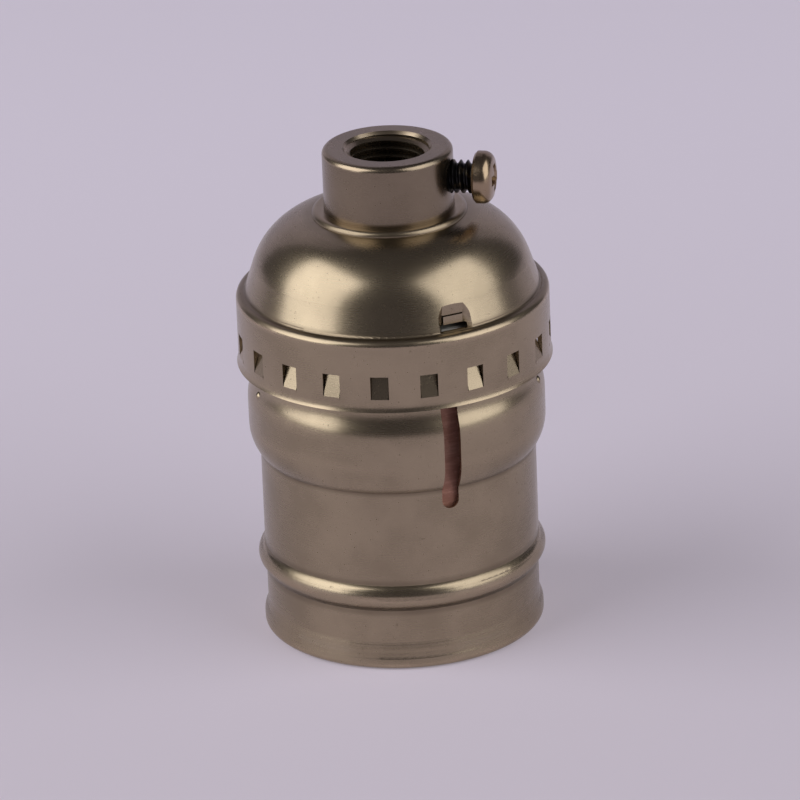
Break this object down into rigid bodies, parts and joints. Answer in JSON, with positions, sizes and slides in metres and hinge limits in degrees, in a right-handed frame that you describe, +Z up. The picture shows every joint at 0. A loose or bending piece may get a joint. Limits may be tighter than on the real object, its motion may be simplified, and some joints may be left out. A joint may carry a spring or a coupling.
{
  "type": "lamp holder",
  "caption": "Snap-together screw lamp holder: domed cap with locking tabs, threaded neck with a side set screw, bulged metal shell with a slit, ceramic interior.",
  "frame": {"origin": "centre of the mouth, in the plane the holder stands on", "axes": "+Z up the lamp's axis to the threaded neck, +X along the set screw towards its head"},
  "size_m": [0.0379, 0.0378, 0.0605],
  "materials": {
    "cap_bronze": "antique bronze, satin, lacquered",
    "neck_bronze": "antique bronze, satin, lacquered",
    "set_screw_steel": "bronze-plated head, blackened thread",
    "shell_bronze": "antique bronze, satin, lacquered",
    "fibre": "matt red-brown vulcanised fibre",
    "porcelain": "glazed white porcelain",
    "thread_brass": "rolled bare brass",
    "contact_brass": "bare spring brass",
    "rivet_brass": "bare brass",
    "terminal_brass": "bare brass",
    "clamp_steel": "zinc-plated",
    "screw_brass": "bare brass",
    "screw_nickel": "nickel-plated brass"
  },
  "bodies": {
    "cap": {"cap": "cap_bronze", "neck_bushing": "neck_bronze"},
    "set_screw": {"set_screw": "set_screw_steel"},
    "shell": {"outer_shell": "shell_bronze", "fibre_sleeve": "fibre", "insulator_body": "porcelain", "screw_shell": "thread_brass", "contact_rivet": "rivet_brass", "neutral_rivet": "rivet_brass", "anchor_rivet": "rivet_brass", "live_terminal_plate": "terminal_brass", "neutral_terminal_plate": "terminal_brass"},
    "centre_contact": {"centre_contact": "contact_brass"},
    "live_wire_clamp": {"live_wire_clamp": "clamp_steel"},
    "live_terminal_screw": {"live_terminal_screw": "screw_brass"},
    "neutral_wire_clamp": {"neutral_wire_clamp": "clamp_steel"},
    "neutral_terminal_screw": {"neutral_terminal_screw": "screw_nickel"}
  },
  "joints": [
    {"name": "set_screw_travel", "type": "slide", "parent": "cap", "child": "set_screw", "axis": [1, 0, 0], "range_m": [-0.0026, 0.0014]},
    {"name": "shell_pull_off", "type": "slide", "parent": "cap", "child": "shell", "axis": [0, 0, -1], "range_m": [0, 0.055]},
    {"name": "contact_bend", "type": "hinge", "parent": "shell", "child": "centre_contact", "pos_m": [-0.0032, 0, 0.0244], "axis": [0, -1, 0], "range_deg": [0, 8], "stiffness_Nm_per_rad": 0.15},
    {"name": "live_clamp_lift", "type": "slide", "parent": "shell", "child": "live_wire_clamp", "axis": [0, 0, 1], "range_m": [0, 0.002]},
    {"name": "live_screw_turn", "type": "hinge", "parent": "live_wire_clamp", "child": "live_terminal_screw", "pos_m": [-0.009, 0, 0.041], "axis": [0, 0, 1], "range_deg": [0, 1200]},
    {"name": "neutral_clamp_lift", "type": "slide", "parent": "shell", "child": "neutral_wire_clamp", "axis": [0, 0, 1], "range_m": [0, 0.002]},
    {"name": "neutral_screw_turn", "type": "hinge", "parent": "neutral_wire_clamp", "child": "neutral_terminal_screw", "pos_m": [0.009, 0, 0.041], "axis": [0, 0, 1], "range_deg": [0, 1200]}
  ],
  "couplings": [
    {"joint": "live_screw_turn", "follows": "live_clamp_lift", "rad_per_m": 10472},
    {"joint": "neutral_screw_turn", "follows": "neutral_clamp_lift", "rad_per_m": 10472}
  ]
}
